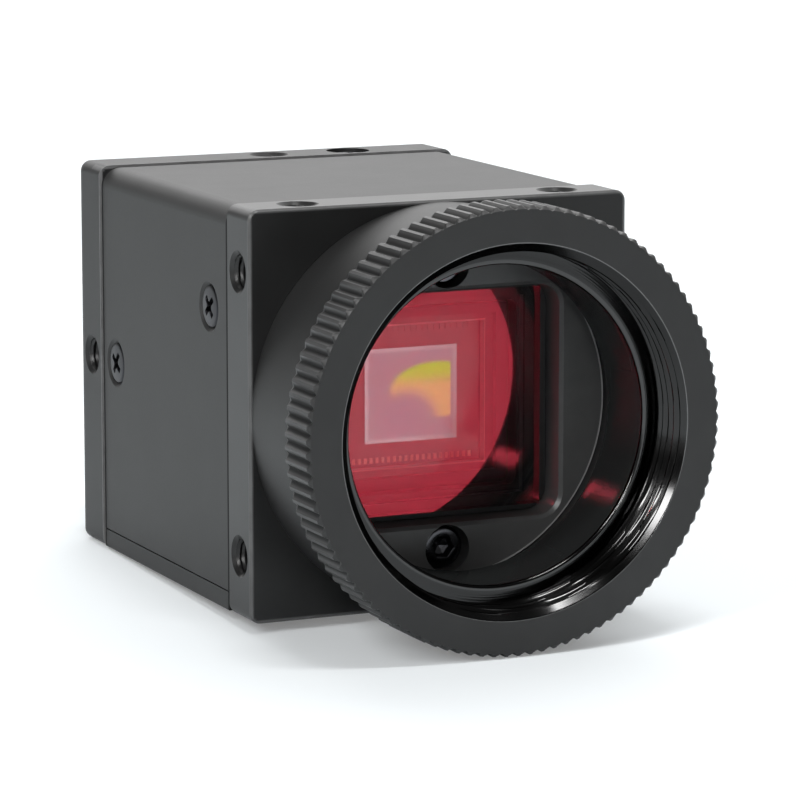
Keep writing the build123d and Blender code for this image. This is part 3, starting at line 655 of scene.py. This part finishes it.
def knurled_ring():
    """The adapter ring, turned about Y: radius = profile(y), less the knurl, plus the lens thread.

    The knurl is a straight tooth with a flat crest. Its phase runs from 0 on the crest to a half in the
    groove, rise grows evenly from 0 at an eighth of it to 1 at a half, and depth = groove x (0.55 x rise +
    0.45 x sin(rise x 90 degrees)). The lens thread is a V groove with the phase y / pitch + angle / 360.
    """
    columns = RING_TEETH * 8
    angle = np.arange(columns)[None, :] * 2 * np.pi / columns
    phase = np.abs((angle * RING_TEETH / (2 * np.pi) + 0.5) % 1.0 - 0.5)
    rise = np.clip((phase - 0.125) / 0.375, 0, 1)
    knurl = CREST_RADIUS - GROOVE_DEPTH * (0.55 * rise + 0.45 * np.sin(rise * np.pi / 2))
    plain = np.ones_like(angle)

    rows = []

    def add_row(radius, y):
        rows.append(np.stack([radius * np.cos(angle), y * plain, radius * np.sin(angle)], -1)[0])

    # Front face from the mouth outwards, then the knurled outside
    for radius in (MOUTH_RADIUS + 0.05, MOUTH_RADIUS + 0.12, MOUTH_RADIUS + 0.8, 14.2, 14.9):
        add_row(radius * plain, 0.0)
    for y in (0.0, 0.05, 0.12, 0.19, 0.25, 0.3, 1.2, 2.1, 3.0, 3.8, 3.86, 3.96, 4.06, 4.15):
        limit = CREST_RADIUS - max(RING_CHAMFER - y, y - KNURL_END, 0.0)
        add_row(np.minimum(knurl, limit), y)
    # Land, back face and the spigot that screws into the neck
    for radius, y in ring_back_outline():
        add_row(radius * plain, y)
    # The step's rounded edge, and the shoulder out to the thread
    for turn in np.linspace(0, np.pi / 2, 7):
        radius = BORE_RADIUS + STEP_ROUND * (1 - np.cos(turn))
        add_row(radius * plain, STEP_Y + STEP_ROUND * (1 - np.sin(turn)))
    for radius, y in ((11.7, STEP_Y), (THREAD_RADIUS - 0.1, STEP_Y), (THREAD_RADIUS - 0.02, STEP_Y - 0.01)):
        add_row(radius * plain, y)
    # The lens thread, running out on the mouth's chamfer
    for y in np.linspace(STEP_Y - 0.05, 0.03, 56):
        turn = (y / THREAD_PITCH + angle / (2 * np.pi)) % 1.0
        groove = np.clip(1.0 - np.abs(turn - 0.5) / 0.42, 0, 1)
        run_out = min(1.0, max(0.0, (STEP_Y - 0.1 - y) / 0.25))
        depth = THREAD_DEPTH * np.clip(groove * 1.25, 0, 1) * run_out
        add_row(np.maximum(THREAD_RADIUS + depth, MOUTH_RADIUS - y), y)
    add_row((MOUTH_RADIUS - 0.01) * plain, 0.012)
    add_row((MOUTH_RADIUS + 0.015) * plain, 0.0)
    return piece_from("knurled_ring", [shell(np.array(rows), False)], BLACK_RING)


def shank_rows(angle, start, end):
    """A screw's thread: radius = shank - depth x |2 x phase - 1|, faded out over 0.2 mm at both ends.

    The phase is z / pitch less the angle's share of a turn.
    """
    z = np.linspace(start, end, int((start - end) / SCREW_PITCH * 6))[:, None]
    phase = (z / SCREW_PITCH - angle / (2 * np.pi)) % 1.0
    fade = np.clip(np.minimum(start - z, z - end) / 0.2, 0, 1)
    radius = SHANK_RADIUS - SCREW_PITCH * 0.4 * np.abs(2 * phase - 1) * fade
    return np.stack([radius * np.cos(angle), radius * np.sin(angle), z + 0 * angle], -1)


def cross_head():
    """A cross-head screw about z, with its top at zero: a domed profile, less the recess for the driver.

    A column's share runs from 0 on an arm's middle line to 1 between two arms. Up to the wall's top at a
    half, the share sets the distance from that line, and past it the angle, so the recess keeps its
    straight edges. Height = dome(radius) - depth x wall(share) x end(radius) x deeper(radius).
    """
    rising = np.array([0.0, 0.18, 0.36, 0.42, 0.48, 0.5, 0.54, 0.6, 0.72, 0.86])
    share = np.concatenate([rising, [1.0], rising[:0:-1]])
    inside = [0.06, 0.16, 0.26, 0.33, 0.42, 0.55, 0.68, 0.8, 0.86, CROSS_REACH]
    around = [0.93, 1.0, 1.12, 1.24, 1.34, 1.41, 1.46, 1.49, HEAD_RADIUS]
    radius = np.array(inside + around)[:, None]
    side = np.clip(share / 0.5, 0, 1) * CROSS_HALF
    edge = np.arcsin(np.clip(side / radius, 0, 0.68))
    from_arm = edge + (np.pi / 4 - edge) * np.clip((share - 0.5) / 0.5, 0, 1)
    quarter = np.where(np.arange(len(share)) > len(rising), np.pi / 2 - from_arm, from_arm)
    angle = np.concatenate([quarter + k * np.pi / 2 for k in range(4)], 1)
    wall = 1 - np.clip((share - 0.36) / 0.14, 0, 1)
    wall = np.maximum(wall, np.clip((0.34 - radius) / 0.1, 0, 1))
    end = np.clip((CROSS_REACH - radius) / 0.1, 0, 1)
    deeper = 1 + 0.35 * np.clip((0.5 - radius) / 0.5, 0, 1)
    depth = np.concatenate([CROSS_DEPTH * wall * end * deeper] * 4, 1)
    rim = np.clip((radius - HEAD_RADIUS + 0.16) / 0.16, 0, 1)
    dome = -0.09 * (radius / HEAD_RADIUS) ** 2 - 0.1 * rim**2
    top = np.stack([radius * np.cos(angle), radius * np.sin(angle), dome - depth], -1)
    cone = [(HEAD_RADIUS, -0.25), (HEAD_RADIUS - 0.03, -0.29), (1.1, -0.66), (0.83, -0.93)]
    below = turned_rows(cone + [(SHANK_RADIUS, -0.97)], angle[-1])
    return shell(np.concatenate([top, below, shank_rows(angle[-1:], -1.0, -SCREW_LENGTH)]), True)


def socket_head():
    """A socket screw about z, with its top at zero: a round head with a six-sided socket, and its shank.

    In the socket radius = share x side / cos(angle from the middle of the side), and a circle outside it.
    """
    angle = np.arange(96) * 2 * np.pi / 96
    side = KEY_HALF / np.cos((angle + np.pi / 6) % (np.pi / 3) - np.pi / 6)
    floor = [(0.1, KEY_DEPTH + 0.16), (0.6, KEY_DEPTH + 0.08), (0.93, KEY_DEPTH + 0.04)]
    wall = [(1.0, KEY_DEPTH), (1.0, 0.12), (1.03, 0.06), (1.1, 0.01), (1.16, 0.0)]
    share, depth = np.array(floor + wall).T[:, :, None]
    socket = np.stack([share * side * np.cos(angle), share * side * np.sin(angle), 0 * angle - depth], -1)
    top = [(1.0, 0.0), (1.25, 0.0), (1.34, -0.02), (1.42, -0.08), (1.48, -0.17), (HEAD_RADIUS, -0.26)]
    back = -HOLDER_HEAD_HEIGHT
    under = [(HEAD_RADIUS, back + 0.02), (1.48, back), (0.84, back), (SHANK_RADIUS, back - 0.04)]
    head = turned_rows(top + under, angle)
    shank = shank_rows(angle[None, :], back - 0.1, -HOLDER_SCREW_LENGTH)
    return shell(np.concatenate([socket, head, shank]), True)


def thread_sleeve(root, height, hidden, start, end, pitch, columns=48, shift=0.0):
    """A right-hand thread about z, as a thin sleeve over a bore or a spigot, from start down to end.

    Radius = root + height x ridge(phase), with phase z / pitch less the angle's share of a turn, run out at
    both ends; a bore's height is below zero. The other side is plain, at the hidden radius in the metal.
    """
    angle = np.arange(columns) * 2 * np.pi / columns
    z = np.linspace(start, end, int((start - end) / pitch * 8) + 1)[:, None]
    phase = (z / pitch - angle / (2 * np.pi) + shift) % 1.0
    ridge = np.clip(1.4 - 2.8 * np.abs(phase - 0.5), 0, 1)
    ends = np.clip(np.minimum(start - z, z - end) / pitch * 2, 0, 1)
    radius = root + height * ridge * ends
    turns = np.stack([radius * np.cos(angle), radius * np.sin(angle), z + 0 * angle], -1)
    plain = turned_rows([(hidden, end), (hidden, start)], angle)
    return shell(np.concatenate([turns, plain]), False)


def tapped_thread():
    """The thread in a tapped hole, from below its countersunk mouth almost to its bottom."""
    root = TAP_RADIUS - 0.01
    return thread_sleeve(root, -0.14, TAP_RADIUS + 0.02, -TAP_MOUTH, -TAP_DEPTH, TAP_PITCH)


def spigot_thread():
    """The thread on the ring's spigot, from behind the shim to the chamfer at its end."""
    root = SPIGOT_RADIUS - 0.01
    front, back = SPIGOT_THREAD
    return thread_sleeve(root, 0.14, SPIGOT_RADIUS - 0.1, -front, -back, THREAD_PITCH, 240)


def neck_thread():
    """The thread in the neck, half a pitch off the spigot's, so that ridge stands opposite groove."""
    root = THREAD_RADIUS + 0.01
    front, back = NECK_THREAD
    return thread_sleeve(root, -0.12, THREAD_RADIUS + 0.1, -front, -back, THREAD_PITCH, 240, 0.5)


def repeated(name, make, places, material, body="camera"):
    """One piece from the same shape at several places: (point, direction of its axis, turn about it)."""
    shells = []
    for origin, along, turn in places:
        points, quads, fans = make()
        shells.append((placed(points, origin, along, turn), quads, fans))
    piece = piece_from(name, shells, material)
    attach(piece, body)
    return piece


def tapped_hole_places():
    """The mouths of the M3 holes: two in the middle of each side of the front plate, one behind each."""
    places = []
    for mount in frame["record"]["mounts"]:
        radius = mount["dims"].get("hole_r_mm", mount["dims"].get("r_mm"))
        if radius != TAP_RADIUS:
            continue
        along = Vector(mount["axis"])
        middle = Vector(mount["pos_m"]) / MM
        mouth = middle + along * (HALF - middle.dot(along))
        across = along.cross((0, 1, 0)) * TAP_SPACING / 2
        for step in (1, -1) if mount["kind"] == "bolt_pattern" else (0,):
            places.append((mouth + across * step, along, 0.4 * len(places)))
    return places


def place_camera():
    """The photograph's viewpoint, aimed at the object's middle with the top up."""
    data = bpy.data.cameras.new("view")
    data.lens = LENS_MM
    data.sensor_width = 36.0
    data.clip_start = 0.01
    camera = bpy.data.objects.new("view", data)
    bpy.context.scene.collection.objects.link(camera)
    camera.location = VIEW_FROM
    camera.rotation_euler = (VIEW_AT - VIEW_FROM).to_track_quat("-Z", "Y").to_euler()
    bpy.context.scene.camera = camera


def add_area_light(name, place, width, height, watts):
    """A rectangular lamp that aims at the object and isn't seen itself."""
    data = bpy.data.lights.new(name, "AREA")
    data.shape = "RECTANGLE"
    data.size = width
    data.size_y = height
    data.energy = watts
    lamp = bpy.data.objects.new(name, data)
    bpy.context.scene.collection.objects.link(lamp)
    lamp.location = place
    lamp.rotation_euler = (Vector(LAMP_AIM) - Vector(place)).to_track_quat("-Z", "Y").to_euler()
    lamp.visible_camera = False


def seen_directly(maker, gloss):
    """1 for rays that show the background itself, from the camera or a glass, and less for a gloss."""
    camera_ray = maker.node("ShaderNodeLightPath", out=0)
    glossy_ray = Wire(maker.tree, camera_ray.socket.node.outputs["Is Glossy Ray"])
    clear_ray = Wire(maker.tree, camera_ray.socket.node.outputs["Is Transmission Ray"])
    return (camera_ray + gloss * glossy_ray + clear_ray).at_most(1.0)


def light_world(fill, gloss):
    """White where it is seen, and a plain fill light elsewhere.

    In glosses it is grey, darker overhead and darker ahead of the object, as a studio is round its table.
    """
    world = bpy.data.worlds.new("studio")
    world.use_nodes = True
    world.node_tree.nodes.clear()
    maker = Wire(world.node_tree)
    place = maker.node("ShaderNodeTexCoord", out=0)
    split = maker.node("ShaderNodeSeparateXYZ", {}, {0: place}).socket.node.outputs
    ahead = Wire(maker.tree, split[1]).rise(-0.15, -0.5)
    height = Wire(maker.tree, split[2])
    gloss = (gloss * height.rise(0.5, 0.15) + 0.1) * (1.0 - 0.8 * ahead * height.rise(0.0, 0.1))
    strength = fill + seen_directly(maker, (gloss - fill) / (1.0 - fill)) * (1.0 - fill)
    shader = maker.node("ShaderNodeBackground", {}, {"Color": (1, 1, 1, 1), "Strength": strength})
    maker.node("ShaderNodeOutputWorld", inputs={0: shader})
    bpy.context.scene.world = world


def lay_floor():
    """A pale sheet under the object, level with the two places where it touches."""
    steps = np.linspace(-FLOOR_SIZE / 2, FLOOR_SIZE / 2, 3)
    x, y = np.meshgrid(steps, steps, indexing="ij")
    z = RING_FOOT + FLOOR_SLOPE * (y - RING_FOOT_Y)
    points = np.stack([x, y, z], -1).reshape(-1, 3)
    faces = [(i * 3 + j, i * 3 + 3 + j, i * 3 + 4 + j, i * 3 + 1 + j) for i in range(2) for j in range(2)]
    mesh = bpy.data.meshes.new("floor")
    mesh.from_pydata(points.tolist(), [], faces)
    floor = bpy.data.objects.new("floor", mesh)
    bpy.context.scene.collection.objects.link(floor)
    material, maker, _ = new_material("white_floor")
    seen = seen_directly(maker, 0.0)
    paper = maker.node("ShaderNodeBsdfDiffuse", {}, {"Color": (0.76, 0.8, 0.82, 1.0)})
    glow = maker.node("ShaderNodeEmission", {}, {"Color": (1, 1, 1, 1), "Strength": seen * 0.2})
    finish_material(maker, maker.node("ShaderNodeAddShader", {}, {0: paper, 1: glow}))
    mesh.materials.append(material)


# Screws and threads: where each axis starts, its direction and its turn; each cross is turned its own way
cover_places = []
for x, turns in ((-COVER_FACE, (0.72, 0.95)), (COVER_FACE, (0.3, 1.2))):
    for (y, z), turn in zip(((FRONT_SCREW_Y, FRONT_SCREW_Z), (REAR_SCREW_Y, 0.0)), turns):
        cover_places.append(((x, y, z), (math.copysign(1, x), 0, 0), turn))
base_turns = ((FRONT_SCREW_Y, 0.55), (REAR_SCREW_Y, 0.1))
base_places = [((0, y, -COVER_FACE), (0, 0, -1), turn) for y, turn in base_turns]
clamp_low, clamp_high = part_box("clamp_screw")
clamp_middle = (clamp_low + clamp_high) / 2 / MM
clamp_places = [((clamp_middle.x, clamp_middle.y, clamp_high.z / MM), (0, 0, 1), 0.85)]
holder_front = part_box("holder_screws")[0].y / MM
holder_turns = ((HOLDER_SCREW_Z, 0.2), (-HOLDER_SCREW_Z, 0.4))
holder_places = [((0, holder_front, z), (0, -1, 0), turn) for z, turn in holder_turns]
for name, node, make, places in (
    ("cover_screw_heads", "cover_screws", cross_head, cover_places),
    ("base_screw_heads", "base_screws", cross_head, base_places),
    ("clamp_screw_head", "clamp_screw", cross_head, clamp_places),
    ("holder_screw_heads", "holder_screws", socket_head, holder_places),
):
    finish = MATERIALS["holder_screws" if make is socket_head else "cover_screws"]
    screws = repeated(name, make, places, finish)
    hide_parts(node)
mount_axis = [((0, 0, 0), (0, -1, 0), 0.0)]
for name, make, places, material, body in (
    ("tapped_threads", tapped_thread, tapped_hole_places(), BLACK_PLATE, "camera"),
    ("neck_threads", neck_thread, mount_axis, BLACK_PLATE, "camera"),
    ("spigot_threads", spigot_thread, mount_axis, BLACK_RING, "ring"),
):
    threads = repeated(name, make, places, material, body)

ring = knurled_ring()
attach(ring, "ring")
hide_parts("adapter_ring")

place_camera()
light_world(WORLD_FILL, WORLD_GLOSS)
for lamp in LAMPS:
    add_area_light(*lamp)
lay_floor()
bpy.context.scene.view_settings.view_transform = "Standard"
